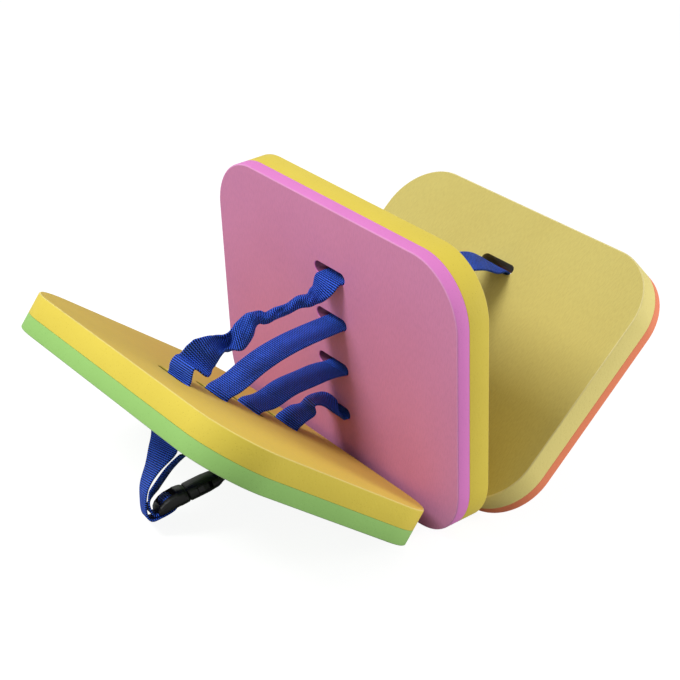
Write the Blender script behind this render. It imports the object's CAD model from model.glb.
"""Back float set of three foam boards on one webbing belt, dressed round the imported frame.

Lengths inside the classes are millimetres in the frame's own directions: +X from the left board
to the right board, +Y along the slots and away from the camera, +Z up. Meshes are made in metres.
"""

import logging
import math
from dataclasses import dataclass, field
from enum import Enum
from typing import Optional, Sequence

import bmesh
import bpy
import numpy as np
from mathutils import Matrix, Vector

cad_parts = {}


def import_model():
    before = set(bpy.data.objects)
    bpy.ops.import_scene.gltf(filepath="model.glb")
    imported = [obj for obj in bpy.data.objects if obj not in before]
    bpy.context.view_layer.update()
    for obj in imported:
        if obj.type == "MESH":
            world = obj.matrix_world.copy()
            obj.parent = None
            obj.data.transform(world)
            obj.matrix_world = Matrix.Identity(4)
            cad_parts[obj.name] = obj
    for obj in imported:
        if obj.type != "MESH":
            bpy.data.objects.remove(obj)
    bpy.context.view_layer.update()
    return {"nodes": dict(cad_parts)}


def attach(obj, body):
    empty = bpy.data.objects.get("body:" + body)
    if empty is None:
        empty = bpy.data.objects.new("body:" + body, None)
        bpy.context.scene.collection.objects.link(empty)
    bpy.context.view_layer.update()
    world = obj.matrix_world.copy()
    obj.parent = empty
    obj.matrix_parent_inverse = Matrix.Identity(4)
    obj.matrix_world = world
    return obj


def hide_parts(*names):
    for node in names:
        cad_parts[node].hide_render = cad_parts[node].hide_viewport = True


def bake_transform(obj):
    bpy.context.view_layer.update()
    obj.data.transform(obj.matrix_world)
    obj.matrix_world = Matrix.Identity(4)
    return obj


MM = 0.001
LOG = logging.getLogger("back_float_set")

BOARD_HEIGHT = 216.0
BOARD_WIDTH = 276.0
BOARD_THICKNESS = 28.0
CORNER_RADIUS = 45.0
SLOT_LENGTH = 35.0
SLOT_HEIGHT = 9.0
SLOT_PITCH = 37.0
SLOT_COUNT = 4
# The column of slots stands this far over the middle of its board.
SLOT_COLUMN_SHIFT = 1.5
# From the foot of the middle board, where places are measured, to the frame's origin.
FOOTPRINT_SHIFT = Vector((12.5, -1.75, 0.0))
BELT_WIDTH = 25.0
BELT_THICKNESS = 1.4
BELT_Y = -2.1
HALF_BELT = BELT_WIDTH / 2
# Heights over a board's face where lengths of the belt end: a free strand that enters an outer
# board, a run inside an outer board, and a pass through the middle board.
STRAND_END = -2.0
RUN_END = -2.2
PASS_END = 0.3
WEAVE_MAP = "weave_uv"
FOAM_MAP = "foam_uv"
# Along the foam's map, faces lie near 0, and cut sides and slot walls start at these marks.
CUT_START = 1000.0
WALL_START = 2000.0
# Direction in which a gathered strap's slack bulges, since that is the side that the photo shows.
TOWARD_CAMERA = Vector((-0.598, -0.702, 0.387))


class Side(Enum):
    """The three boards of the fan, named from the camera's left."""

    LEFT = "left"
    MIDDLE = "middle"
    RIGHT = "right"


class Body(Enum):
    """Bodies of the frame that this script's own pieces ride on."""

    LEFT = "left_board"
    MIDDLE = "middle_board"
    RIGHT = "right_board"
    BUCKLE = "buckle_male"


def linear(code: str) -> tuple[float, float, float, float]:
    """Turn an sRGB hex colour into a linear colour with full alpha.

    Args:
        code: six hex digits.

    Returns:
        Red, green, blue and alpha, linear.
    """
    values = []
    for start in (0, 2, 4):
        part = int(code[start:start + 2], 16) / 255.0
        values.append(part / 12.92 if part <= 0.04045 else ((part + 0.055) / 1.055) ** 2.4)
    return values[0], values[1], values[2], 1.0


def place(x: float, y: float, z: float) -> Vector:
    """Point measured from the foot of the middle board, moved to the frame, in millimetres."""
    return Vector((x, y, z)) + FOOTPRINT_SHIFT


def add_node(
    tree: bpy.types.NodeTree,
    kind: str,
    settings: Optional[dict] = None,
    inputs: Optional[dict] = None,
) -> bpy.types.Node:
    """Add one node with its settings, values and links.

    Args:
        tree: the node tree that receives the node.
        kind: Blender's name for the node type.
        settings: attributes of the node.
        inputs: socket name or number to a value, or to an output socket to link from.

    Returns:
        The new node.
    """
    node = tree.nodes.new(kind)
    for key, value in (settings or {}).items():
        setattr(node, key, value)
    for key, value in (inputs or {}).items():
        socket = node.inputs[key]
        if isinstance(value, bpy.types.NodeSocket):
            tree.links.new(value, socket)
        else:
            socket.default_value = value
    return node


def new_material(name: str) -> tuple[bpy.types.Material, bpy.types.NodeTree, bpy.types.Node]:
    """Make a material that holds only a Principled shader and its output.

    Args:
        name: name of the material.

    Returns:
        The material, its node tree and the shader node.
    """
    made = bpy.data.materials.new(name)
    made.use_nodes = True
    tree = made.node_tree
    tree.nodes.clear()
    shader = add_node(tree, "ShaderNodeBsdfPrincipled")
    add_node(tree, "ShaderNodeOutputMaterial", inputs={"Surface": shader.outputs[0]})
    return made, tree, shader


@dataclass(frozen=True)
class FoamFinish:
    """Closed-cell EVA foam, split from a block and die cut.

    The eye gets a matt face with a fine pressed grain that runs askew, clean bright cut sides
    with small open cells, and a pale line along each arris where the knife has stretched the skin.
    Grain and cells are finer on the real foam, and are drawn as coarse as they need to show.
    """

    name: str
    face_hex: str
    side_hex: str
    deep_hex: str
    wall_hex: str
    slot: str
    skin: tuple[float, float, float, float] = (0.9, 0.88, 0.8, 1.0)
    grain_pitch: float = 1.5
    grain_density: float = 1.6
    grain_turn: float = 38.0
    grain_stretch: float = 0.22
    cell_pitch: float = 1.95
    knife_line: float = 0.9
    knife_pale: float = 0.2
    lip_shade: tuple[float, float] = (0.2, 1.0)
    wall_shade: float = 0.8
    cloud_per_metre: float = 14.0
    cloud_share: float = 0.08
    grain_share: float = 0.16
    cell_share: float = 0.5
    cell_span: tuple[float, float] = (0.03, 0.17)
    roughness: tuple[float, float] = (0.58, 0.74)
    relief: float = 0.22
    sheen: float = 0.06

    def masks(self, tree: bpy.types.NodeTree) -> tuple[bpy.types.NodeSocket, ...]:
        """Read from the foam's map what a point lies on.

        Args:
            tree: the material's node tree.

        Returns:
            The map itself, the mask of cut sides, the mask of arrises and the mask of slot walls.
        """
        mapped = add_node(tree, "ShaderNodeUVMap", {"uv_map": FOAM_MAP})
        axes = add_node(tree, "ShaderNodeSeparateXYZ", inputs={0: mapped.outputs["UV"]})
        cut = add_node(tree, "ShaderNodeMath", {"operation": "GREATER_THAN"}, {
            0: axes.outputs["Y"], 1: CUT_START / 2})
        near = add_node(tree, "ShaderNodeMapRange", inputs={
            "Value": axes.outputs["Y"], "From Min": CUT_START, "From Max": CUT_START + self.knife_line,
            "To Min": 1.0, "To Max": 0.0})
        arris = add_node(tree, "ShaderNodeMath", {"operation": "MULTIPLY"}, {
            0: near.outputs[0], 1: cut.outputs[0]})
        shallow, deep = self.lip_shade
        wall = add_node(tree, "ShaderNodeMapRange", inputs={
            "Value": axes.outputs["Y"], "From Min": WALL_START + shallow, "From Max": WALL_START + deep,
            "To Min": 0.0, "To Max": self.wall_shade})
        return mapped.outputs["UV"], cut.outputs[0], arris.outputs[0], wall.outputs[0]

    def material(self) -> bpy.types.Material:
        """Build the foam's material.

        Returns:
            A material that reads the foam's map in millimetres and Object coordinates in metres.
        """
        made, tree, shader = new_material(self.name)
        place_of = add_node(tree, "ShaderNodeTexCoord").outputs["Object"]
        mapped, cut, arris, wall = self.masks(tree)
        cloud = add_node(tree, "ShaderNodeTexNoise", inputs={
            "Vector": place_of, "Scale": self.cloud_per_metre, "Detail": 3.0, "Roughness": 0.55})
        streaked = add_node(tree, "ShaderNodeMapping", inputs={
            "Vector": mapped, "Rotation": (0.0, 0.0, math.radians(self.grain_turn)),
            "Scale": (1.0, self.grain_stretch, 1.0)})
        pressed = add_node(tree, "ShaderNodeTexNoise", inputs={
            "Vector": streaked.outputs[0], "Scale": self.grain_density / self.grain_pitch,
            "Detail": 2.0, "Roughness": 0.6})
        cells = add_node(tree, "ShaderNodeTexVoronoi", {"feature": "F1"}, {
            "Vector": place_of, "Scale": 1.0 / (self.cell_pitch * MM), "Randomness": 1.0})
        foam = add_node(tree, "ShaderNodeMix", {"data_type": "FLOAT"}, {
            "Factor": cut, 2: pressed.outputs["Fac"], 3: cells.outputs["Distance"]})
        base = add_node(tree, "ShaderNodeMix", {"data_type": "RGBA"}, {
            "Factor": cut, 6: linear(self.face_hex), 7: linear(self.side_hex)})
        shade = add_node(tree, "ShaderNodeMapRange", inputs={
            "Value": cloud.outputs["Fac"], "From Min": 0.35, "From Max": 0.65,
            "To Min": 0.0, "To Max": self.cloud_share})
        grained = add_node(tree, "ShaderNodeMapRange", inputs={
            "Value": pressed.outputs["Fac"], "From Min": 0.35, "From Max": 0.6,
            "To Min": self.grain_share, "To Max": 0.0})
        core, rim = self.cell_span
        speck = add_node(tree, "ShaderNodeMapRange", inputs={
            "Value": cells.outputs["Distance"], "From Min": core, "From Max": rim,
            "To Min": self.cell_share, "To Max": 0.0})
        mark = add_node(tree, "ShaderNodeMix", {"data_type": "FLOAT"}, {
            "Factor": cut, 2: grained.outputs[0], 3: speck.outputs[0]})
        total = add_node(tree, "ShaderNodeMath", {"operation": "ADD", "use_clamp": True}, {
            0: mark.outputs[0], 1: shade.outputs[0]})
        worn = add_node(tree, "ShaderNodeMix", {"data_type": "RGBA"}, {
            "Factor": total.outputs[0], 6: base.outputs[2], 7: linear(self.deep_hex)})
        pale = add_node(tree, "ShaderNodeMath", {"operation": "MULTIPLY"}, {
            0: arris, 1: self.knife_pale})
        colour = add_node(tree, "ShaderNodeMix", {"data_type": "RGBA"}, {
            "Factor": pale.outputs[0], 6: worn.outputs[2], 7: self.skin})
        hollow = add_node(tree, "ShaderNodeMix", {"data_type": "RGBA"}, {
            "Factor": wall, 6: colour.outputs[2], 7: linear(self.wall_hex)})
        bump = add_node(tree, "ShaderNodeBump", inputs={
            "Strength": 0.35, "Distance": self.relief * MM, "Height": foam.outputs[0]})
        smooth, coarse = self.roughness
        rough = add_node(tree, "ShaderNodeMapRange", inputs={
            "Value": pressed.outputs["Fac"], "From Min": 0.3, "From Max": 0.7,
            "To Min": smooth, "To Max": coarse})
        tree.links.new(hollow.outputs[2], shader.inputs["Base Color"])
        tree.links.new(rough.outputs[0], shader.inputs["Roughness"])
        tree.links.new(bump.outputs["Normal"], shader.inputs["Normal"])
        shader.inputs["IOR"].default_value = 1.45
        shader.inputs["Specular IOR Level"].default_value = 0.35
        shader.inputs["Sheen Weight"].default_value = self.sheen
        shader.inputs["Sheen Roughness"].default_value = 0.5
        return made


@dataclass(frozen=True)
class WebbingFinish:
    """Polypropylene webbing, woven flat with close weft ribs.

    The eye gets fine ribs across the width, broken into short stitches by the warp, and a soft
    shine that follows the fold, with navy in the hollows between the ribs. The real pitch of the
    ribs is a little finer, and is drawn as coarse as it needs to show.
    """

    name: str
    yarn_hex: str
    shade_hex: str
    shine_hex: str = "5A7CE0"
    fuzz_hex: str = "3F6FE6"
    rib_pitch: float = 1.5
    warp_pitch: float = 2.1
    rib_sway: float = 0.85
    warp_lift: float = 0.6
    wear_per_metre: float = 90.0
    wear_share: float = 0.5
    hollow_span: tuple[float, float] = (0.62, 0.95)
    relief: float = 0.5

    def material(self) -> bpy.types.Material:
        """Build the webbing's material.

        Returns:
            A material that reads the strip's own map: across in U, along in V, in millimetres.
        """
        made, tree, shader = new_material(self.name)
        mapped = add_node(tree, "ShaderNodeUVMap", {"uv_map": WEAVE_MAP})
        axes = add_node(tree, "ShaderNodeSeparateXYZ", inputs={0: mapped.outputs["UV"]})
        row = add_node(tree, "ShaderNodeMath", {"operation": "MULTIPLY"}, {
            0: axes.outputs["Y"], 1: 2.0 * math.pi / self.rib_pitch})
        column = add_node(tree, "ShaderNodeMath", {"operation": "MULTIPLY"}, {
            0: axes.outputs["X"], 1: 2.0 * math.pi / self.warp_pitch})
        lean = add_node(tree, "ShaderNodeMath", {"operation": "SINE"}, {0: column.outputs[0]})
        sway = add_node(tree, "ShaderNodeMath", {"operation": "MULTIPLY_ADD"}, {
            0: lean.outputs[0], 1: self.rib_sway, 2: row.outputs[0]})
        rib = add_node(tree, "ShaderNodeMath", {"operation": "SINE"}, {0: sway.outputs[0]})
        warp = add_node(tree, "ShaderNodeMath", {"operation": "ABSOLUTE"}, {0: lean.outputs[0]})
        height = add_node(tree, "ShaderNodeMath", {"operation": "MULTIPLY_ADD"}, {
            0: warp.outputs[0], 1: self.warp_lift, 2: rib.outputs[0]})
        fac = add_node(tree, "ShaderNodeMapRange", inputs={
            "Value": height.outputs[0], "From Min": -0.9, "From Max": 1.5,
            "To Min": 0.0, "To Max": 1.0})
        place_of = add_node(tree, "ShaderNodeTexCoord").outputs["Object"]
        wear = add_node(tree, "ShaderNodeTexNoise", inputs={
            "Vector": place_of, "Scale": self.wear_per_metre, "Detail": 3.0, "Roughness": 0.6})
        blend = add_node(tree, "ShaderNodeMath", {"operation": "MULTIPLY_ADD"}, {
            0: wear.outputs["Fac"], 1: self.wear_share, 2: fac.outputs[0]})
        hollow, crest = self.hollow_span
        clip = add_node(tree, "ShaderNodeMapRange", inputs={
            "Value": blend.outputs[0], "From Min": hollow, "From Max": crest,
            "To Min": 0.0, "To Max": 1.0})
        colour = add_node(tree, "ShaderNodeMix", {"data_type": "RGBA"}, {
            "Factor": clip.outputs[0], 6: linear(self.shade_hex), 7: linear(self.yarn_hex)})
        bump = add_node(tree, "ShaderNodeBump", inputs={
            "Strength": 1.0, "Distance": self.relief * MM, "Height": fac.outputs[0]})
        tree.links.new(colour.outputs[2], shader.inputs["Base Color"])
        tree.links.new(bump.outputs["Normal"], shader.inputs["Normal"])
        shader.inputs["Roughness"].default_value = 0.55
        shader.inputs["IOR"].default_value = 1.45
        shader.inputs["Specular IOR Level"].default_value = 0.2
        shader.inputs["Specular Tint"].default_value = linear(self.shine_hex)
        shader.inputs["Sheen Weight"].default_value = 0.25
        shader.inputs["Sheen Roughness"].default_value = 0.45
        shader.inputs["Sheen Tint"].default_value = linear(self.fuzz_hex)
        return made


@dataclass(frozen=True)
class BuckleFinish:
    """Acetal, injection moulded in black.

    The eye gets a near-black satin with a soft broad highlight and a faint spark-eroded grain.
    """

    name: str
    body_hex: str
    worn_hex: str
    grain_per_metre: float = 1900.0
    cloud_per_metre: float = 160.0
    roughness: tuple[float, float] = (0.3, 0.42)
    relief: float = 0.05

    def material(self) -> bpy.types.Material:
        """Build the buckle's material.

        Returns:
            A material that reads Object coordinates in metres.
        """
        made, tree, shader = new_material(self.name)
        place_of = add_node(tree, "ShaderNodeTexCoord").outputs["Object"]
        grain = add_node(tree, "ShaderNodeTexNoise", inputs={
            "Vector": place_of, "Scale": self.grain_per_metre, "Detail": 2.0, "Roughness": 0.5})
        cloud = add_node(tree, "ShaderNodeTexNoise", inputs={
            "Vector": place_of, "Scale": self.cloud_per_metre, "Detail": 2.0, "Roughness": 0.5})
        colour = add_node(tree, "ShaderNodeMix", {"data_type": "RGBA"}, {
            "Factor": cloud.outputs["Fac"], 6: linear(self.body_hex), 7: linear(self.worn_hex)})
        smooth, coarse = self.roughness
        rough = add_node(tree, "ShaderNodeMapRange", inputs={
            "Value": cloud.outputs["Fac"], "From Min": 0.3, "From Max": 0.7,
            "To Min": smooth, "To Max": coarse})
        bump = add_node(tree, "ShaderNodeBump", inputs={
            "Strength": 0.15, "Distance": self.relief * MM, "Height": grain.outputs["Fac"]})
        tree.links.new(colour.outputs[2], shader.inputs["Base Color"])
        tree.links.new(rough.outputs[0], shader.inputs["Roughness"])
        tree.links.new(bump.outputs["Normal"], shader.inputs["Normal"])
        shader.inputs["IOR"].default_value = 1.48
        shader.inputs["Specular IOR Level"].default_value = 0.3
        return made


def dress(item: bpy.types.Object, finish: bpy.types.Material) -> None:
    """Give an object one material in place of any that it has."""
    item.data.materials.clear()
    item.data.materials.append(finish)


def link_mesh(name: str, mesh: bpy.types.Mesh, finish: bpy.types.Material) -> bpy.types.Object:
    """Link a mesh to the scene as an object at the origin.

    Args:
        name: name of the piece.
        mesh: its mesh, in metres, in place.
        finish: its material.

    Returns:
        The new object.
    """
    item = bpy.data.objects.new(name, mesh)
    bpy.context.scene.collection.objects.link(item)
    mesh.materials.append(finish)
    return item


def natural_cubic(points: Sequence, count: int) -> np.ndarray:
    """Natural cubic curve through points, sampled at even steps of its chord.

    Args:
        points: rows whose first three columns are a place; more columns ride along.
        count: number of samples.

    Returns:
        The samples, one row each.
    """
    knots = np.array([tuple(p) for p in points], dtype=float)
    chord = np.linalg.norm(np.diff(knots[:, :3], axis=0), axis=1)
    t = np.concatenate([[0.0], np.cumsum(chord)])
    n = len(knots)
    system = np.zeros((n, n))
    right = np.zeros((n, knots.shape[1]))
    system[0, 0] = 1.0
    system[-1, -1] = 1.0
    for i in range(1, n - 1):
        before = t[i] - t[i - 1]
        after = t[i + 1] - t[i]
        system[i, i - 1] = before
        system[i, i] = 2.0 * (before + after)
        system[i, i + 1] = after
        right[i] = 6.0 * ((knots[i + 1] - knots[i]) / after - (knots[i] - knots[i - 1]) / before)
    bend = np.linalg.solve(system, right)
    samples = []
    for s in np.linspace(0.0, t[-1], count):
        i = min(max(int(np.searchsorted(t, s)) - 1, 0), n - 2)
        h = t[i + 1] - t[i]
        a = (t[i + 1] - s) / h
        b = (s - t[i]) / h
        curve = (a ** 3 - a) * bend[i] + (b ** 3 - b) * bend[i + 1]
        samples.append(a * knots[i] + b * knots[i + 1] + curve * h * h / 6.0)
    return np.array(samples)


def across(near: np.ndarray, far: np.ndarray, columns: int) -> np.ndarray:
    """Fill a grid between the near and the far edge of a strip.

    Args:
        near: points of the near edge.
        far: points of the far edge, as many.
        columns: number of columns, edges included.

    Returns:
        Grid of rows by columns by three.
    """
    share = np.linspace(0.0, 1.0, columns)[None, :, None]
    return near[:, None, :] * (1.0 - share) + far[:, None, :] * share


def half_turn(share: float) -> float:
    """Half angle of the arc whose chord is a given share of its length, found by halving.

    Args:
        share: chord over length, under 1.

    Returns:
        The half angle in radians.
    """
    low, high = 1e-3, math.pi
    for _ in range(40):
        turn = (low + high) / 2
        low, high = (turn, high) if math.sin(turn) / turn > share else (low, turn)
    return turn


def joined(grids: Sequence[np.ndarray]) -> np.ndarray:
    """Put grids that share their end rows one after the other.

    Args:
        grids: the grids in order.

    Returns:
        One grid, with each shared row once.
    """
    parts = [np.asarray(grids[0])]
    for grid in grids[1:]:
        parts.append(np.asarray(grid)[1:])
    return np.concatenate(parts)


@dataclass
class Board:
    """Place of one board: up its slots, along its slots, and out of its front face."""

    side: Side
    tilt: float
    foot_x: float
    side_y: float
    slot_y: float
    leans: tuple[float, float, float, float]
    face_to_right: bool
    up: Vector = field(init=False)
    out: Vector = field(init=False)
    centre: Vector = field(init=False)

    def __post_init__(self) -> None:
        """Work out the directions and the middle of the front face."""
        angle = math.radians(self.tilt)
        self.up = Vector((math.sin(angle), 0.0, math.cos(angle)))
        self.out = Vector((0.0, 1.0, 0.0)).cross(self.up)
        if not self.face_to_right:
            self.out.negate()
        centre = Vector((self.foot_x, self.side_y, 0.0)) + self.up * (BOARD_HEIGHT / 2)
        if self.side is not Side.MIDDLE:
            centre = centre + self.out * BOARD_THICKNESS
        sunk = abs(self.up.x) + abs(self.up.z) - 1.0
        self.centre = centre - Vector((0.0, 0.0, sunk)) + FOOTPRINT_SHIFT

    def at(self, up: float, along: float, out: float) -> Vector:
        """Frame point from distances in the board's own directions."""
        return self.centre + self.up * up + Vector((0.0, along, 0.0)) + self.out * out

    def slot_up(self, index: int) -> float:
        """Height of the middle of one slot, counted from the top."""
        return SLOT_PITCH * (SLOT_COUNT - 1) / 2 + SLOT_COLUMN_SHIFT - SLOT_PITCH * index

    def belt(self, index: int, out: float) -> Vector:
        """Middle of the belt inside one slot.

        Args:
            index: slot number from the top.
            out: height over the front face.

        Returns:
            The frame point.
        """
        point = self.at(self.slot_up(index) + self.leans[index], 0.0, out)
        point.y = BELT_Y + FOOTPRINT_SHIFT.y
        return point


BOARDS = {
    Side.LEFT: Board(Side.LEFT, -61.0, -24.5, 3.5, 1.0, (-2.0, -2.0, 2.0, -2.0), True),
    Side.MIDDLE: Board(Side.MIDDLE, -11.0, 0.0, 0.0, 0.0, (-3.1, -3.1, -3.1, -3.1), False),
    Side.RIGHT: Board(Side.RIGHT, 39.0, 52.5, 1.0, 1.0, (-2.3, 2.3, -2.3, 2.3), False),
}


@dataclass
class FoamBoard:
    """One board: two foam layers laminated face to face, with four die-cut slots."""

    board: Board
    body: Body
    seam: float
    front_name: str
    front_node: str
    front_finish: FoamFinish
    back_name: str
    back_node: str
    back_finish: FoamFinish
    arris: float = 1.0
    lip: float = 0.5
    seam_arris: float = 0.2
    seam_lip: float = 0.1
    seam_gap: float = 0.12
    round_steps: int = 3
    corner_steps: int = 28
    slot_steps: int = 14

    def outline(self, inset: float) -> list[tuple[float, float]]:
        """Rounded rectangle of the board, drawn in by an inset.

        Args:
            inset: distance in from the cut side.

        Returns:
            Points as up and along distances.
        """
        points = []
        radius = CORNER_RADIUS - inset
        for quarter, (su, sv) in enumerate(((1, 1), (-1, 1), (-1, -1), (1, -1))):
            cu = su * (BOARD_HEIGHT / 2 - CORNER_RADIUS)
            cv = sv * (BOARD_WIDTH / 2 - CORNER_RADIUS)
            for step in range(self.corner_steps + 1):
                angle = math.pi / 2 * (quarter + step / self.corner_steps)
                points.append((cu + radius * math.cos(angle), cv + radius * math.sin(angle)))
        return points

    def slot(self, index: int, outset: float) -> list[tuple[float, float]]:
        """Outline of one slot with round ends, opened by an outset.

        Args:
            index: slot number from the top.
            outset: how far the lip is rounded back.

        Returns:
            Points as up and along distances.
        """
        radius = SLOT_HEIGHT / 2 + outset
        reach = SLOT_LENGTH / 2 - SLOT_HEIGHT / 2
        shift = self.board.slot_y - self.board.side_y
        centre = self.board.slot_up(index)
        points = []
        for end in (1, -1):
            for step in range(self.slot_steps + 1):
                angle = math.pi * step / self.slot_steps
                points.append((centre + end * radius * math.cos(angle),
                               shift + end * (reach + radius * math.sin(angle))))
        return points

    def profile(self, front: float, back: float, front_round: float, back_round: float) -> list:
        """Depth and edge inset of each ring of a layer's cut side.

        Args:
            front: depth of the layer's front face.
            back: depth of its back face.
            front_round: radius of the front arris.
            back_round: radius of the back arris.

        Returns:
            Pairs of depth and inset, from front to back.
        """
        rings = []
        for step in range(self.round_steps + 1):
            angle = math.pi / 2 * step / self.round_steps
            rings.append((front - front_round * (1 - math.cos(angle)),
                          front_round * (1 - math.sin(angle))))
        for step in reversed(range(self.round_steps + 1)):
            angle = math.pi / 2 * step / self.round_steps
            rings.append((back + back_round * (1 - math.cos(angle)),
                          back_round * (1 - math.sin(angle))))
        return rings

    def skirt(
        self, work: bmesh.types.BMesh, index: Optional[int], rings: Sequence[tuple[float, float]],
        outer_depth: float,
    ) -> list[list[bmesh.types.BMVert]]:
        """Add the cut side of a layer, or the wall of one of its slots.

        Args:
            work: the layer's mesh.
            index: slot number, or None for the cut side.
            rings: depth and inset of each ring.
            outer_depth: depth of the layer's outer face, from which the map counts.

        Returns:
            The vertices, one row for each ring.
        """
        mapped = work.loops.layers.uv[FOAM_MAP]
        rows = []
        for depth, inset in rings:
            line = self.outline(inset) if index is None else self.slot(index, inset)
            rows.append([work.verts.new(self.board.at(u, v, depth) * MM) for u, v in line])
        count = len(rows[0])
        first = CUT_START if index is None else WALL_START
        marks = [first + abs(outer_depth - depth) for depth, _ in rings]
        run = [0.0]
        for i in range(count):
            run.append(run[-1] + (rows[0][i].co - rows[0][(i + 1) % count].co).length / MM)
        for ring, (upper, lower) in enumerate(zip(rows, rows[1:])):
            for i in range(count):
                j = (i + 1) % count
                face = work.faces.new((upper[i], upper[j], lower[j], lower[i]))
                face.smooth = True
                corners = ((i, ring), (i + 1, ring), (i + 1, ring + 1), (i, ring + 1))
                for loop, (step, level) in zip(face.loops, corners):
                    loop[mapped].uv = (run[step], marks[level])
        return rows

    def cap(self, work: bmesh.types.BMesh, edges: list[bmesh.types.BMEdge]) -> None:
        """Fill one face of a layer round its slots and map it in millimetres.

        Args:
            work: the layer's mesh.
            edges: rims of the face and of its slots.
        """
        mapped = work.loops.layers.uv[FOAM_MAP]
        filled = bmesh.ops.triangle_fill(work, use_beauty=True, use_dissolve=False, edges=edges)
        for face in (part for part in filled["geom"] if isinstance(part, bmesh.types.BMFace)):
            for loop in face.loops:
                reach = loop.vert.co / MM - self.board.centre
                loop[mapped].uv = (reach.y, reach.dot(self.board.up))

    def layer(self, name: str, front: float, back: float, outer_front: bool) -> bpy.types.Mesh:
        """Build one layer with rounded arrises and open slots.

        Args:
            name: name of the mesh.
            front: depth of its front face.
            back: depth of its back face.
            outer_front: whether the front is the outer face.

        Returns:
            Closed mesh in metres.
        """
        outer = (self.arris, self.seam_arris) if outer_front else (self.seam_arris, self.arris)
        inner = (self.lip, self.seam_lip) if outer_front else (self.seam_lip, self.lip)
        work = bmesh.new()
        work.loops.layers.uv.new(FOAM_MAP)
        front_rims, back_rims = [], []
        for index in (None, *range(SLOT_COUNT)):
            rings = self.profile(front, back, *(outer if index is None else inner))
            rows = self.skirt(work, index, rings, front if outer_front else back)
            for rims, row in ((front_rims, rows[0]), (back_rims, rows[-1])):
                rims += [work.edges.get(pair) for pair in zip(row, row[1:] + row[:1])]
        self.cap(work, front_rims)
        self.cap(work, back_rims)
        bmesh.ops.recalc_face_normals(work, faces=work.faces)
        mesh = bpy.data.meshes.new(name)
        work.to_mesh(mesh)
        work.free()
        return mesh

    def build(self, finishes: dict[str, bpy.types.Material]) -> None:
        """Make both layers, dress them and fasten them to the board's body.

        Args:
            finishes: materials by name.
        """
        over = -self.seam + self.seam_gap / 2
        under = -self.seam - self.seam_gap / 2
        layers = (
            (self.front_name, self.front_node, self.front_finish, 0.0, over, True),
            (self.back_name, self.back_node, self.back_finish, under, -BOARD_THICKNESS, False),
        )
        for name, node, finish, front, back, outer_front in layers:
            item = link_mesh(name, self.layer(name, front, back, outer_front), finishes[finish.name])
            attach(item, self.body.value)
            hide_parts(node)
            LOG.info("%s made, %d faces", name, len(item.data.polygons))


@dataclass
class Strip:
    """One length of webbing from a grid of points on its middle surface, in millimetres."""

    name: str
    node: str
    grid: np.ndarray
    thickness: float = BELT_THICKNESS
    edge_steps: int = 3

    def section(self, points: np.ndarray, normals: np.ndarray, wide: np.ndarray) -> list[tuple]:
        """Closed section at one row: top, far selvedge, underside, near selvedge.

        Args:
            points: the row's points on the middle surface.
            normals: the surface's unit normals there.
            wide: steps across the width there.

        Returns:
            Pairs of a point and its distance across the width.
        """
        half = self.thickness / 2
        marks = np.linspace(0.0, BELT_WIDTH, len(points))
        ring = [(p + n * half, mark) for p, n, mark in zip(points, normals, marks)]
        under = [(p - n * half, mark) for p, n, mark in zip(points, normals, marks)]
        for end, sign in ((-1, 1.0), (0, -1.0)):
            outward = wide[end] / np.linalg.norm(wide[end]) * sign
            for step in range(1, self.edge_steps):
                angle = math.pi * step / self.edge_steps
                side = normals[end] * math.cos(angle) * sign
                ring.append((points[end] + (side + outward * math.sin(angle)) * half, marks[end]))
            if end:
                ring += reversed(under)
        return ring

    def mesh(self) -> bpy.types.Mesh:
        """Closed strip with round selvedges and a map in millimetres across and along.

        Returns:
            Mesh in metres.
        """
        grid = np.asarray(self.grid, dtype=float)
        run = np.empty_like(grid)
        run[1:-1] = grid[2:] - grid[:-2]
        run[0] = grid[1] - grid[0]
        run[-1] = grid[-1] - grid[-2]
        wide = np.gradient(grid, axis=1)
        normals = np.cross(run, wide)
        normals /= np.linalg.norm(normals, axis=2, keepdims=True)
        steps = np.linalg.norm(np.diff(grid.mean(axis=1), axis=0), axis=1)
        along = np.concatenate([[0.0], np.cumsum(steps)])
        rings = [self.section(*row) for row in zip(grid, normals, wide)]
        size = len(rings[0])
        last = len(rings) - 1
        faces = []
        coords = []
        for r in range(last):
            for i in range(size):
                corners = ((r, i), (r, (i + 1) % size), (r + 1, (i + 1) % size), (r + 1, i))
                faces.append(tuple(row * size + step for row, step in corners))
                coords += [(rings[r][step][1], along[row]) for row, step in corners]
        for r, order in ((0, range(size - 1, -1, -1)), (last, range(size))):
            faces.append(tuple(r * size + i for i in order))
            coords += [(rings[r][i][1], along[r]) for i in order]
        mesh = bpy.data.meshes.new(self.name)
        mesh.from_pydata([tuple(point * MM) for ring in rings for point, _ in ring], [], faces)
        layer = mesh.uv_layers.new(name=WEAVE_MAP)
        layer.data.foreach_set("uv", np.array(coords, dtype=np.float32).ravel())
        mesh.shade_smooth()
        work = bmesh.new()
        work.from_mesh(mesh)
        bmesh.ops.recalc_face_normals(work, faces=work.faces)
        work.to_mesh(mesh)
        work.free()
        return mesh


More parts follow.
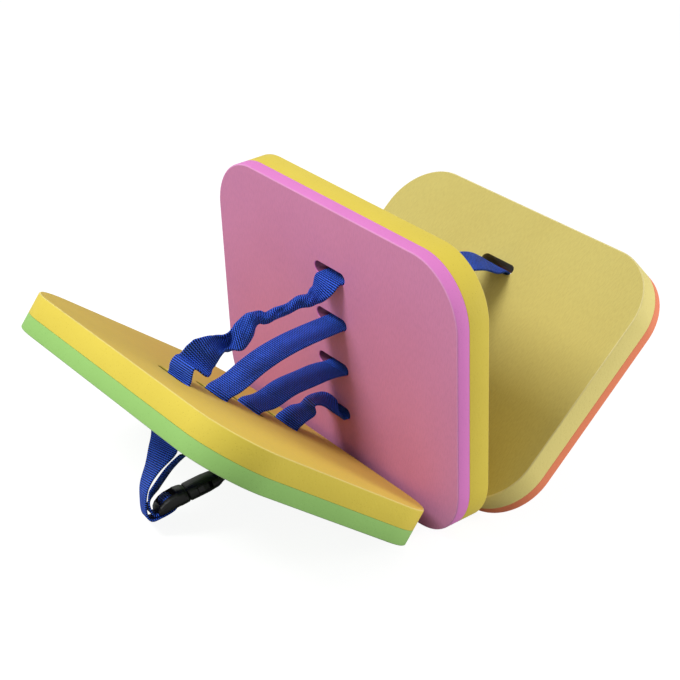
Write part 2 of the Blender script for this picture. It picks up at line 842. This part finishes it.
@dataclass
class Buckle:
    """Place and sizes of the side release buckle: a along it, b across it, c through it.

    The belt passes under the ladder frame at height load. Turn, rise and roll are in degrees.
    """

    foot: tuple[float, float, float] = (-173.6, -14.5, 14.4)
    turn: float = -14.5
    rise: float = 24.3
    roll: float = -23.0
    male_length: float = 24.0
    female_length: float = 40.0
    load: float = -5.7
    a: Vector = field(init=False)
    b: Vector = field(init=False)
    c: Vector = field(init=False)
    origin: Vector = field(init=False)

    def __post_init__(self) -> None:
        """Work out the buckle's three directions and its left end."""
        turn, rise, roll = (math.radians(v) for v in (self.turn, self.rise, self.roll))
        self.a = Vector((math.cos(turn) * math.cos(rise), math.sin(turn) * math.cos(rise),
                         math.sin(rise)))
        level = Vector((-math.sin(turn), math.cos(turn), 0.0))
        self.b = level * math.cos(roll) + self.a.cross(level) * math.sin(roll)
        self.c = self.a.cross(self.b)
        self.origin = place(*self.foot)

    def at(self, a: float, b: float, c: float) -> Vector:
        """Frame point from distances in the buckle's own directions."""
        return self.origin + self.a * a + self.b * b + self.c * c

    def line(self, points: Sequence[tuple[float, float]], b: float) -> list[Vector]:
        """Points along one selvedge of the belt, from stations in a and c."""
        return [self.at(a, b, c) for a, c in points]

    def dress(self, finish: bpy.types.Material, nodes: dict[str, bpy.types.Object]) -> None:
        """Give the moulded pieces their finish.

        Args:
            finish: the moulded plastic.
            nodes: the frame's nodes by name.
        """
        for name in ("buckle_female", "buckle_male_frame", "buckle_prong_upper", "buckle_prong_lower"):
            dress(nodes[name], finish)


@dataclass(frozen=True)
class Gather:
    """Station of a crumpled strap: its two selvedges and how far its slack bulges to the camera."""

    near: tuple[float, float, float]
    far: tuple[float, float, float]
    bulge: float


# Stations of the two strands that the photo shows crumpled, chosen by hand from fold to fold.
STRAND_ONE = (
    Gather((-152.0, -14.8, 109.8), (-152.6, 10.2, 109.6), 0.0),
    Gather((-149.6, -15.0, 115.0), (-148.9, 10.0, 114.4), 0.0),
    Gather((-140.5, -15.0, 108.1), (-147.2, 7.0, 116.8), 0.0),
    Gather((-132.0, -9.0, 107.7), (-147.3, -1.0, 126.8), 0.0),
    Gather((-127.4, -8.0, 113.2), (-139.8, -2.0, 130.5), 0.3),
    Gather((-123.4, -8.0, 118.1), (-128.5, -2.0, 130.6), -0.4),
    Gather((-118.4, -9.0, 121.4), (-115.2, -1.0, 130.0), -0.7),
    Gather((-112.8, -12.0, 120.5), (-111.4, -1.0, 134.8), 0.2),
    Gather((-105.7, -12.0, 124.2), (-104.9, 0.0, 139.0), 0.5),
    Gather((-100.3, -10.0, 129.5), (-99.4, 0.0, 142.0), 0.8),
    Gather((-92.4, -3.0, 134.2), (-90.4, 0.0, 138.8), 1.0),
    Gather((-86.0, -2.0, 135.6), (-85.8, -1.2, 138.6), 1.0),
    Gather((-77.4, -2.0, 137.6), (-77.2, -1.2, 140.6), 1.0),
    Gather((-65.7, -2.0, 139.8), (-65.5, -1.2, 142.8), 1.0),
    Gather((-55.6, -3.0, 142.6), (-55.8, -1.0, 146.8), 1.0),
    Gather((-47.0, -6.0, 142.8), (-47.9, -1.0, 148.2), 0.8),
    Gather((-43.6, -9.0, 144.4), (-44.6, 2.0, 150.0), 0.5),
    Gather((-39.1, -12.0, 148.8), (-39.9, 6.0, 153.1), 0.3),
    Gather((-35.4, -14.0, 155.4), (-36.4, 9.0, 156.8), 0.0),
)
STRAND_FOUR = (
    Gather((-54.0, -16.4, 54.0), (-52.5, 8.6, 54.0), 0.0),
    Gather((-47.0, -16.4, 57.6), (-43.5, 8.6, 56.8), 0.0),
    Gather((-42.2, -16.4, 61.6), (-36.6, 8.6, 57.3), 0.0),
    Gather((-43.6, -16.4, 66.2), (-33.8, 8.6, 60.4), 0.0),
    Gather((-39.6, -15.4, 66.8), (-30.0, 8.4, 62.0), 0.0),
    Gather((-34.5, -14.0, 64.8), (-23.9, 8.0, 62.8), 0.0),
    Gather((-27.6, -14.0, 60.5), (-14.6, 5.5, 62.0), 0.1),
    Gather((-18.9, -14.0, 53.4), (-13.0, -4.0, 58.4), 0.3),
    Gather((-14.0, -14.4, 50.8), (-12.6, 2.0, 53.4), 0.2),
)


@dataclass
class Belt:
    """The one belt that laces the boards together, made in lengths that each follow a body.

    The small folds of a gathered strap are two waves. Each turns by so much across half of the
    belt's width and by so much per millimetre along it, both in radians.
    """

    buckle: Buckle
    columns: int = 9
    sway: float = -2.0
    right_shift: float = -1.5
    arc_cells: int = 24
    draw_in: float = 0.2
    broad_wave: tuple[float, float] = (5.2, 0.42)
    fine_wave: tuple[float, float] = (9.1, -0.27)
    fine_share: float = 0.6
    left: Board = field(init=False)
    middle: Board = field(init=False)
    right: Board = field(init=False)

    def __post_init__(self) -> None:
        """Look up the three boards."""
        self.left = BOARDS[Side.LEFT]
        self.middle = BOARDS[Side.MIDDLE]
        self.right = BOARDS[Side.RIGHT]

    def flat(self, centres: Sequence[Vector], count: int) -> np.ndarray:
        """Grid of a curved strip whose width lies along the slots and whose middle sways aside.

        Args:
            centres: points of its centre line.
            count: number of rows.

        Returns:
            Grid of points.
        """
        line = natural_cubic(centres, count)
        line[:, 1] += self.sway * np.sin(math.pi * np.linspace(0.0, 1.0, count))
        half = np.array([0.0, HALF_BELT, 0.0])
        return across(line - half, line + half, self.columns)

    def ruled(self, near: Sequence[Vector], far: Sequence[Vector], count: int) -> np.ndarray:
        """Grid of count rows between two curved edges."""
        return across(natural_cubic(near, count), natural_cubic(far, count), self.columns)

    def straight(self, centres: Sequence[Vector]) -> np.ndarray:
        """Grid of a strip that runs straight from station to station, its width along the slots.

        Args:
            centres: points of its centre line.

        Returns:
            Grid of points.
        """
        line = np.array([tuple(p) for p in centres], dtype=float)
        half = np.array([0.0, HALF_BELT, 0.0])
        return across(line - half, line + half, self.columns)

    def passes(self) -> list[Strip]:
        """Make the lengths inside the middle board's slots.

        Returns:
            Four strips, from the top.
        """
        strips = []
        for index in range(SLOT_COUNT):
            start = self.middle.belt(index, PASS_END)
            end = self.middle.belt(index, -BOARD_THICKNESS - PASS_END)
            grid = self.straight([start.lerp(end, quarter / 4) for quarter in range(5)])
            number = index + 1
            strips.append(Strip("belt_in_middle_slot_%d" % number, "belt_pass_middle_%d" % number, grid))
        return strips

    def gathered(self, row: np.ndarray, travelled: float, pleat: float) -> list[tuple]:
        """One section of a gathered strap: an arc as long as the belt is wide, with small folds.

        Args:
            row: middle, half of the step between the selvedges, and the bulge to the camera.
            travelled: distance from the start of the strap.
            pleat: height of the small folds.

        Returns:
            The section's points.
        """
        middle, wide = Vector(row[:3]), Vector(row[3:6])
        share = min(0.999, wide.length / HALF_BELT)
        slack = 1.0 - share
        lift = max(-1.0, min(1.0, row[6]))
        wide.normalize()
        bulge = (TOWARD_CAMERA - wide * wide.dot(TOWARD_CAMERA)).normalized()
        turn = half_turn(share)
        radius = HALF_BELT / turn
        line = []
        for k in range(self.arc_cells + 1):
            s = 2.0 * k / self.arc_cells - 1.0
            side = radius * math.sin(turn * s) * (1.0 - self.draw_in * slack)
            rise = radius * (math.cos(turn * s) - math.cos(turn)) * lift
            broad, fine = (math.sin(wide_turn * s + long_turn * travelled)
                           for wide_turn, long_turn in (self.broad_wave, self.fine_wave))
            rise += pleat * slack * (broad + self.fine_share * fine)
            line.append(tuple(middle + wide * side + bulge * rise))
        return line

    def crumpled(
        self, index: int, stations: Sequence[Gather], pleat: float, count: int,
    ) -> np.ndarray:
        """Left strand whose selvedges draw together here and there while its width stays whole.

        Args:
            index: number of the slots that it joins.
            stations: its free stations, from the left board to the middle one.
            pleat: height of the small folds in the gathered part.
            count: number of rows.

        Returns:
            Grid of points.
        """
        whole = (0.0, HALF_BELT, 0.0, 0.0)
        rows = [tuple(self.left.belt(index, out)) + whole for out in (STRAND_END, 0.6)]
        for station in stations:
            near, far = place(*station.near), place(*station.far)
            rows.append(tuple((near + far) / 2) + tuple((far - near) / 2) + (station.bulge,))
        rows += [tuple(self.middle.belt(index, out)) + whole for out in (2.6, PASS_END)]
        curve = natural_cubic(rows, count)
        steps = np.linalg.norm(np.diff(curve[:, :3], axis=0), axis=1)
        travelled = np.concatenate([[0.0], np.cumsum(steps)])
        return np.array([self.gathered(row, run, pleat) for row, run in zip(curve, travelled)])

    def left_strands(self) -> list[Strip]:
        """Make the free lengths between the left and the middle board.

        Returns:
            Four strips, from the top.
        """
        grids = [self.crumpled(0, STRAND_ONE, pleat=1.3, count=210)]
        for index, points in (
            (1, ((-113.5, 89.6), (-97.5, 99.6), (-76.8, 110.5), (-52.0, 117.6))),
            (2, ((-82.5, 71.8), (-66.0, 78.9), (-46.8, 83.6), (-30.0, 86.2))),
        ):
            centres = [self.left.belt(index, out) for out in (STRAND_END, 0.6)]
            centres += [place(x, BELT_Y, z) for x, z in points]
            centres.append(self.middle.belt(index, PASS_END))
            grids.append(self.flat(centres, count=90))
        grids.append(self.crumpled(3, STRAND_FOUR, pleat=0.3, count=110))
        return [Strip("belt_left_strand_%d" % n, "belt_strand_left_%d" % n, grid)
                for n, grid in enumerate(grids, start=1)]

    def right_strands(self) -> list[Strip]:
        """Make the free lengths between the middle and the right board.

        Returns:
            Four strips, from the top.
        """
        half = Vector((0.0, HALF_BELT, 0.0))
        routes = (
            (((12.0, 163.6), (50.0, 158.2), (91.4, 152.4), (110.0, 149.6), (121.0, 146.0)),
             ((12.0, 164.0), (50.0, 160.2), (90.0, 156.6), (112.0, 154.8), (123.0, 150.0))),
            (((13.0, 126.6), (48.0, 124.4), (84.0, 122.0), (101.0, 120.8)),
             ((13.0, 126.6), (48.0, 125.4), (84.0, 124.0), (101.0, 122.2))),
            (((18.0, 89.8), (40.0, 88.0), (62.0, 88.4), (78.0, 87.6)),
             ((18.0, 90.2), (40.0, 89.4), (62.0, 90.2), (78.0, 88.6))),
            (((22.0, 54.0), (33.0, 55.6), (44.0, 58.4), (55.0, 61.0)),
             ((22.0, 54.4), (33.0, 57.0), (44.0, 60.6), (55.0, 62.6))),
        )
        strips = []
        for index, (near_points, far_points) in enumerate(routes):
            start = self.middle.belt(index, -BOARD_THICKNESS - PASS_END)
            lip = self.right.belt(index, 1.6)
            end = self.right.belt(index, STRAND_END)
            near = [place(x, BELT_Y - HALF_BELT + self.right_shift, z) for x, z in near_points]
            far = [place(x, BELT_Y + HALF_BELT + self.right_shift, z) for x, z in far_points]
            grid = self.ruled([start - half] + near + [lip - half, end - half],
                              [start + half] + far + [lip + half, end + half], count=100)
            number = index + 1
            strips.append(Strip("belt_right_strand_%d" % number, "belt_strand_right_%d" % number, grid))
        return strips

    def turn(self, board: Board, upper: int, lower: int) -> np.ndarray:
        """Belt out of one slot, flat over the outer face and back into the next slot.

        Args:
            board: the board that it turns on.
            upper: slot that it leaves.
            lower: slot that it enters.

        Returns:
            Grid of points.
        """
        clearance = 0.45
        slack = 0.15
        bend = 2.0
        arc_steps = 12
        depths = (RUN_END, -12.0, -20.0)
        high = -BOARD_THICKNESS - BELT_THICKNESS / 2 - clearance
        a = board.slot_up(upper) + board.leans[upper]
        b = board.slot_up(lower) + board.leans[lower]
        arc = []
        for step in range(arc_steps + 1):
            angle = math.pi / 2 * step / arc_steps
            arc.append((bend * (1 - math.cos(angle)), high + bend * (1 - math.sin(angle))))
        route = [(a, depth) for depth in depths] + [(a - run, out) for run, out in arc]
        for share in (0.2, 0.4, 0.6, 0.8):
            up = a - bend + (b - a + 2 * bend) * share
            route.append((up, high - slack * math.sin(math.pi * share)))
        route += [(b + run, out) for run, out in reversed(arc)]
        route += [(b, depth) for depth in reversed(depths)]
        centres = []
        for up, out in route:
            point = board.at(up, 0.0, out)
            point.y = BELT_Y + FOOTPRINT_SHIFT.y
            centres.append(point)
        return self.straight(centres)

    def drop(self) -> np.ndarray:
        """Belt from the first slot down past the ladder frame's end and back under its bars.

        Returns:
            Grid of points.
        """
        buckle = self.buckle
        half = Vector((0.0, HALF_BELT, 0.0))
        slot = [self.left.belt(0, depth) for depth in (RUN_END, -10.0, -19.0, -BOARD_THICKNESS)]
        leave = [self.left.belt(0, depth) for depth in (-BOARD_THICKNESS, -BOARD_THICKNESS - 3.0)]
        near = [place(*p) for p in (
            (-163.8, -15.2, 66.0), (-159.6, -15.6, 55.8), (-167.2, -16.0, 48.2), (-175.6, -16.8, 41.4),
            (-182.2, -17.6, 30.6))]
        far = [place(*p) for p in (
            (-165.6, 9.9, 67.0), (-163.6, 9.9, 58.0), (-165.2, 9.5, 48.0), (-168.2, 7.6, 36.0),
            (-173.2, 4.6, 23.6))]
        bottom = ((-4.6, 7.5), (-6.9, 0.6), (-7.0, -2.6), (-5.4, -5.0), (-2.4, buckle.load),
                  (-0.5, buckle.load))
        free = self.ruled([p - half for p in leave] + near + buckle.line(bottom, -HALF_BELT),
                          [p + half for p in leave] + far + buckle.line(bottom, HALF_BELT),
                          count=190)
        under = tuple((a, buckle.load) for a in (-0.5, 1.0, 2.5, 4.2))
        last = across(np.array(buckle.line(under, -HALF_BELT)), np.array(buckle.line(under, HALF_BELT)),
                      self.columns)
        return joined([self.straight(slot), free, last])

    def tail(self) -> np.ndarray:
        """Belt up through the inner slot, back over the middle bar, out under the end bar and up.

        Returns:
            Grid of points.
        """
        buckle = self.buckle
        stations = (
            (4.2, buckle.load), (8.5, -5.4), (11.8, -4.7), (14.2, -3.0), (14.9, -0.6), (14.4, 1.6),
            (12.9, 3.2), (10.5, 3.8), (8.2, 3.0), (6.7, 1.0), (6.2, -1.2), (4.9, -3.0), (2.6, -3.5),
            (0.4, -3.5), (-2.0, -2.9), (-3.2, -1.0), (-3.0, 1.8), (-1.0, 5.3), (3.2, 9.5),
            (10.6, 14.2), (20.3, 19.6), (28.0, 22.6), (34.0, 24.3))
        loose = Vector((0.68, 0.63, -0.404)).normalized()
        near = []
        far = []
        for a, c in natural_cubic(stations, count=220):
            # Past the bars the tail is free, and its width turns from the buckle's to its own.
            free = a < 3.0 or c > 5.0
            share = min(1.0, max(0.0, (c - 1.0) / 10.0)) if free else 0.0
            wide = (loose * share + buckle.b * (1.0 - share)).normalized() * HALF_BELT
            near.append(buckle.at(a, 0.0, c) - wide)
            far.append(buckle.at(a, 0.0, c) + wide)
        return across(np.array(near), np.array(far), self.columns)

    def lead(self) -> np.ndarray:
        """Belt from the sewn loop round the bar of the female half to the last slot.

        Returns:
            Grid of points.
        """
        buckle = self.buckle
        end = buckle.male_length + buckle.female_length
        half = Vector((0.0, HALF_BELT, 0.0))
        loop = [(end + a, c) for a, c in (
            (6.0, -3.7), (3.0, -3.0), (-0.6, -3.3), (-3.5, -2.9), (-5.0, 0.0), (-3.5, 3.1), (-0.6, 3.3),
            (3.0, 1.4), (6.5, -1.2))]
        depths = (-BOARD_THICKNESS - 1.6, -BOARD_THICKNESS + 1.5, -BOARD_THICKNESS + 6.0, -14.0,
                  RUN_END)
        slot = [self.left.belt(3, depth) for depth in depths]
        near = [place(*p) for p in (
            (-108.0, -40.5, 43.2), (-99.5, -35.6, 37.2), (-90.3, -27.6, 28.9), (-81.3, -20.5, 22.0),
            (-75.8, -16.1, 20.2))]
        far = [place(*p) for p in (
            (-99.0, -18.5, 35.8), (-92.5, -12.4, 31.8), (-85.7, -3.4, 25.1), (-79.7, 4.5, 21.0),
            (-75.6, 8.9, 20.2))]
        return self.ruled(buckle.line(loop, -HALF_BELT) + near + [p - half for p in slot],
                          buckle.line(loop, HALF_BELT) + far + [p + half for p in slot],
                          count=190)

    def seam(self, grid: np.ndarray) -> list[list[Vector]]:
        """Two rows across the lead's top layer, where its end is sewn under it.

        Args:
            grid: points of the lead.

        Returns:
            Two polylines just over the webbing.
        """
        buckle = self.buckle
        end = buckle.male_length + buckle.female_length
        centre = self.columns // 2
        over = BELT_THICKNESS / 2 + 0.08
        rows = []
        for reach in (3.4, 5.8):
            best = min(range(len(grid) // 8, len(grid) // 2), key=lambda r: abs(
                (Vector(grid[r, centre]) - buckle.origin).dot(buckle.a) - end - reach))
            along = Vector(grid[best + 1, centre] - grid[best - 1, centre])
            wide = Vector(grid[best, -1] - grid[best, 0])
            normal = along.cross(wide).normalized()
            if normal.dot(buckle.c) < 0.0:
                normal.negate()
            rows.append([Vector(point) + normal * over for point in grid[best, 1:-1]])
        return rows

    def fix(self, strip: Strip, finish: bpy.types.Material) -> bpy.types.Object:
        """Turn a strip into a dressed piece that stands for its node.

        Args:
            strip: the length of webbing.
            finish: the webbing.

        Returns:
            The piece.
        """
        item = link_mesh(strip.name, strip.mesh(), finish)
        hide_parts(strip.node)
        LOG.info("%s made, %d faces", strip.name, len(item.data.polygons))
        return item

    def build(self, finish: bpy.types.Material) -> None:
        """Make every length of the belt and tie it to its body or bodies.

        Args:
            finish: the webbing.
        """
        for strip in self.passes():
            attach(self.fix(strip, finish), Body.MIDDLE.value)
        for index, strip in enumerate(self.left_strands()):
            start = self.middle.belt(index, 2.0) * MM
            end = self.left.belt(index, 1.0) * MM
            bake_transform(self.fix(strip, finish))
        for index, strip in enumerate(self.right_strands()):
            start = self.middle.belt(index, -BOARD_THICKNESS - 2.0) * MM
            end = self.right.belt(index, 1.0) * MM
            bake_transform(self.fix(strip, finish))
        turns = (
            ("left_turn", "belt_turn_left", self.left, 1, Body.LEFT),
            ("right_upper_turn", "belt_turn_right_upper", self.right, 0, Body.RIGHT),
            ("right_lower_turn", "belt_turn_right_lower", self.right, 2, Body.RIGHT),
        )
        for name, node, board, upper, body in turns:
            strip = Strip("belt_" + name, node, self.turn(board, upper, upper + 1))
            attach(self.fix(strip, finish), body.value)
        drop = self.fix(Strip("belt_load_drop", "belt_drop", self.drop()), finish)
        start = self.left.belt(0, -BOARD_THICKNESS - 3.0) * MM
        end = self.buckle.at(-3.0, 0.0, self.buckle.load) * MM
        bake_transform(drop)
        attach(self.fix(Strip("belt_free_tail", "belt_tail", self.tail()), finish), Body.BUCKLE.value)
        lead = self.lead()
        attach(self.fix(Strip("belt_sewn_lead", "belt_lead", lead), finish), Body.LEFT.value)
        stitches = StitchRows().build(self.seam(lead), finish)
        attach(stitches, Body.LEFT.value)


@dataclass
class StitchRows:
    """Lockstitch rows that close the sewn loop, laid along polylines by Geometry Nodes."""

    name: str = "lead_stitches"
    pitch: float = 2.7
    length: float = 2.0
    thread: float = 0.5
    shortest: float = 0.92
    longest: float = 1.06
    seed: int = 7

    def tree(self) -> bpy.types.NodeTree:
        """Node tree that sets one stitch at each step of a polyline.

        Returns:
            The node group, with its inputs named.
        """
        group = bpy.data.node_groups.new(self.name + "_nodes", "GeometryNodeTree")
        face = group.interface
        face.new_socket("Geometry", in_out="INPUT", socket_type="NodeSocketGeometry")
        for label in ("Pitch", "Length", "Thread", "Shortest", "Longest"):
            face.new_socket(label, in_out="INPUT", socket_type="NodeSocketFloat")
        face.new_socket("Seed", in_out="INPUT", socket_type="NodeSocketInt")
        face.new_socket("Material", in_out="INPUT", socket_type="NodeSocketMaterial")
        face.new_socket("Geometry", in_out="OUTPUT", socket_type="NodeSocketGeometry")
        given = add_node(group, "NodeGroupInput").outputs
        curve = add_node(group, "GeometryNodeMeshToCurve", inputs={"Mesh": given["Geometry"]})
        points = add_node(group, "GeometryNodeCurveToPoints", {"mode": "LENGTH"}, {
            "Curve": curve.outputs[0], "Length": given["Pitch"]})
        turned = add_node(group, "FunctionNodeAlignRotationToVector", {"axis": "Z"}, {
            "Vector": points.outputs["Tangent"]})
        ball = add_node(group, "GeometryNodeMeshUVSphere", inputs={
            "Segments": 8, "Rings": 6, "Radius": 0.5})
        size = add_node(group, "ShaderNodeCombineXYZ", inputs={
            0: given["Thread"], 1: given["Thread"], 2: given["Length"]})
        vary = add_node(group, "FunctionNodeRandomValue", {"data_type": "FLOAT"}, {
            2: given["Shortest"], 3: given["Longest"], "Seed": given["Seed"]})
        scale = add_node(group, "ShaderNodeVectorMath", {"operation": "SCALE"}, {
            0: size.outputs[0], "Scale": vary.outputs[1]})
        laid = add_node(group, "GeometryNodeInstanceOnPoints", inputs={
            "Points": points.outputs["Points"], "Instance": ball.outputs["Mesh"],
            "Rotation": turned.outputs[0], "Scale": scale.outputs[0]})
        solid = add_node(group, "GeometryNodeRealizeInstances", inputs={0: laid.outputs[0]})
        dressed = add_node(group, "GeometryNodeSetMaterial", inputs={
            "Geometry": solid.outputs[0], "Material": given["Material"]})
        add_node(group, "NodeGroupOutput", inputs={0: dressed.outputs[0]})
        return group

    def build(self, rows: Sequence[Sequence[Vector]], finish: bpy.types.Material) -> bpy.types.Object:
        """Lay the stitches along the rows and turn them into a plain mesh.

        Args:
            rows: polylines in millimetres.
            finish: the thread.

        Returns:
            The stitches as one piece.
        """
        vertices, edges = [], []
        for row in rows:
            first = len(vertices)
            vertices += [tuple(Vector(p) * MM) for p in row]
            edges += [(k, k + 1) for k in range(first, len(vertices) - 1)]
        base = bpy.data.meshes.new(self.name + "_path")
        base.from_pydata(vertices, edges, [])
        item = bpy.data.objects.new(self.name, base)
        bpy.context.scene.collection.objects.link(item)
        group = self.tree()
        modifier = item.modifiers.new("stitches", "NODES")
        modifier.node_group = group
        values = {"Pitch": self.pitch * MM, "Length": self.length * MM, "Thread": self.thread * MM,
                  "Shortest": self.shortest, "Longest": self.longest, "Seed": self.seed,
                  "Material": finish}
        for socket in group.interface.items_tree:
            if socket.in_out == "INPUT" and socket.name in values:
                modifier[socket.identifier] = values[socket.name]
        solid = item.evaluated_get(bpy.context.evaluated_depsgraph_get())
        mesh = bpy.data.meshes.new_from_object(solid)
        item.modifiers.clear()
        item.data = mesh
        dress(item, finish)
        LOG.info("%s made, %d faces", self.name, len(mesh.polygons))
        return item


@dataclass(frozen=True)
class Softbox:
    """Square soft lamp: its place and size in metres and its radiant power in watts."""

    name: str
    at: tuple[float, float, float]
    size: float
    power: float


@dataclass
class Studio:
    """Camera at the photograph's viewpoint, a white floor and soft lamps.

    The camera's place is in millimetres from the foot of the middle board, and its lens and
    sensor are in millimetres too. Other lengths are in metres.
    """

    camera_at: tuple[float, float, float] = (-751.7, -865.79, 584.53)
    forward: tuple[float, float, float] = (0.59802, 0.70184, -0.38703)
    up: tuple[float, float, float] = (0.15504, 0.37248, 0.915)
    lens: float = 90.12
    sensor: float = 36.0
    clip: tuple[float, float] = (0.05, 20.0)
    fill: float = 0.42
    floor_reach: float = 3.0
    floor_level: float = -0.0002
    paper: float = 0.45
    shown_paper: float = 0.22
    shown_glow: float = 0.91
    target: tuple[float, float, float] = (0.0, 0.0, 0.1)
    lamps: tuple[Softbox, ...] = (
        Softbox("left_softbox", (-0.82, 0.24, 1.02), 0.45, 9.8),
        Softbox("front_softbox", (1.6, -1.35, 0.5), 1.0, 23.0),
    )

    def camera(self) -> None:
        """Create the camera and make it the scene's own."""
        data = bpy.data.cameras.new("camera")
        data.lens = self.lens
        data.sensor_width = self.sensor
        data.clip_start, data.clip_end = self.clip
        item = bpy.data.objects.new("camera", data)
        bpy.context.scene.collection.objects.link(item)
        back = -Vector(self.forward).normalized()
        right = Vector(self.up).cross(back).normalized()
        up = back.cross(right)
        turned = Matrix((right, up, back)).transposed().to_4x4()
        turned.translation = place(*self.camera_at) * MM
        item.matrix_world = turned
        bpy.context.scene.camera = item

    def lamp(self, box: Softbox) -> None:
        """Add one soft lamp that looks at the object.

        Args:
            box: the lamp.
        """
        data = bpy.data.lights.new(box.name, "AREA")
        data.shape = "SQUARE"
        data.size = box.size
        data.energy = box.power
        item = bpy.data.objects.new(box.name, data)
        bpy.context.scene.collection.objects.link(item)
        item.location = box.at
        toward = Vector(self.target) - Vector(box.at)
        item.rotation_euler = toward.to_track_quat("-Z", "Y").to_euler()

    def world(self) -> None:
        """White surroundings for the camera, gloss and glass, and a softer fill for the rest."""
        made = bpy.data.worlds.new("studio_world")
        bpy.context.scene.world = made
        made.use_nodes = True
        tree = made.node_tree
        tree.nodes.clear()
        path = add_node(tree, "ShaderNodeLightPath")
        seen = add_node(tree, "ShaderNodeMath", {"operation": "MAXIMUM"}, {
            0: path.outputs["Is Camera Ray"], 1: path.outputs["Is Transmission Ray"]})
        bright = add_node(tree, "ShaderNodeMath", {"operation": "MAXIMUM"}, {
            0: seen.outputs[0], 1: path.outputs["Is Glossy Ray"]})
        strength = add_node(tree, "ShaderNodeMapRange", inputs={
            "Value": bright.outputs[0], "From Min": 0.0, "From Max": 1.0,
            "To Min": self.fill, "To Max": 1.0})
        back = add_node(tree, "ShaderNodeBackground", inputs={
            "Color": (1.0, 1.0, 1.0, 1.0), "Strength": strength.outputs[0]})
        add_node(tree, "ShaderNodeOutputWorld", inputs={"Surface": back.outputs[0]})

    def floor(self) -> None:
        """Pale floor that keeps the shadow and is white to the camera where it is lit."""
        work = bmesh.new()
        reach, level = self.floor_reach, self.floor_level
        corners = ((-reach, -reach), (reach, -reach), (reach, reach), (-reach, reach))
        work.faces.new([work.verts.new((x, y, level)) for x, y in corners])
        mesh = bpy.data.meshes.new("floor")
        work.to_mesh(mesh)
        work.free()
        made = bpy.data.materials.new("white_paper_floor")
        made.use_nodes = True
        tree = made.node_tree
        tree.nodes.clear()
        path = add_node(tree, "ShaderNodeLightPath")
        paper = add_node(tree, "ShaderNodeBsdfDiffuse", inputs={"Color": (self.paper,) * 3 + (1.0,)})
        shade = add_node(tree, "ShaderNodeBsdfDiffuse", inputs={
            "Color": (self.shown_paper,) * 3 + (1.0,)})
        glow = add_node(tree, "ShaderNodeEmission", inputs={
            "Color": (1.0, 1.0, 1.0, 1.0), "Strength": self.shown_glow})
        shown = add_node(tree, "ShaderNodeAddShader", inputs={0: shade.outputs[0], 1: glow.outputs[0]})
        lift = add_node(tree, "ShaderNodeMixShader", inputs={
            0: path.outputs["Is Camera Ray"], 1: paper.outputs[0], 2: shown.outputs[0]})
        add_node(tree, "ShaderNodeOutputMaterial", inputs={"Surface": lift.outputs[0]})
        link_mesh("floor", mesh, made)

    def build(self) -> None:
        """Set up the whole studio."""
        bpy.context.scene.view_settings.view_transform = "Standard"
        self.camera()
        self.world()
        self.floor()
        for box in self.lamps:
            self.lamp(box)
        LOG.info("studio made")


# Colours of each foam: face, cut side, deep tone in cells and grain, and slot wall.
YELLOW = FoamFinish("eva_foam_yellow", "E4C63C", "E8D24E", "A8861C", "4A3A0C", "foam_yellow")
PALE_YELLOW = FoamFinish("eva_foam_pale_yellow", "DACC76", "F0E088", "A88E34", "564820", "foam_yellow")
GREEN = FoamFinish("eva_foam_green", "98CC70", "9ACC70", "5A9038", "24401A", "foam_green")
PINK = FoamFinish("eva_foam_pink", "DE90C0", "EA86D2", "A86090", "4A2030", "foam_pink")
ORANGE = FoamFinish("eva_foam_orange", "E8825C", "FA8E64", "B85C38", "502414", "foam_orange")
WEBBING = WebbingFinish("woven_polypropylene_blue", "4470FA", "04081F")
ACETAL = BuckleFinish("moulded_acetal_black", "070708", "0C0C0E")


def main() -> None:
    """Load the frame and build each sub-assembly in order."""
    logging.basicConfig(level=logging.INFO, format="%(name)s: %(message)s")
    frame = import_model()
    Studio().build()
    finishes = {finish.name: finish.material() for finish in (YELLOW, PALE_YELLOW, GREEN, PINK, ORANGE)}
    webbing = WEBBING.material()
    acetal = ACETAL.material()
    boards = (
        FoamBoard(BOARDS[Side.LEFT], Body.LEFT, 16.0,
                  "left_board_yellow_foam", "left_board_yellow_layer", YELLOW,
                  "left_board_green_foam", "left_board_green_layer", GREEN),
        FoamBoard(BOARDS[Side.MIDDLE], Body.MIDDLE, 10.5,
                  "middle_board_pink_foam", "middle_board_pink_layer", PINK,
                  "middle_board_yellow_foam", "middle_board_yellow_layer", YELLOW),
        FoamBoard(BOARDS[Side.RIGHT], Body.RIGHT, 19.5,
                  "right_board_yellow_foam", "right_board_yellow_layer", PALE_YELLOW,
                  "right_board_orange_foam", "right_board_orange_layer", ORANGE),
    )
    for board in boards:
        board.build(finishes)
    buckle = Buckle()
    buckle.dress(acetal, frame["nodes"])
    Belt(buckle).build(webbing)


if __name__ == "__main__":
    main()
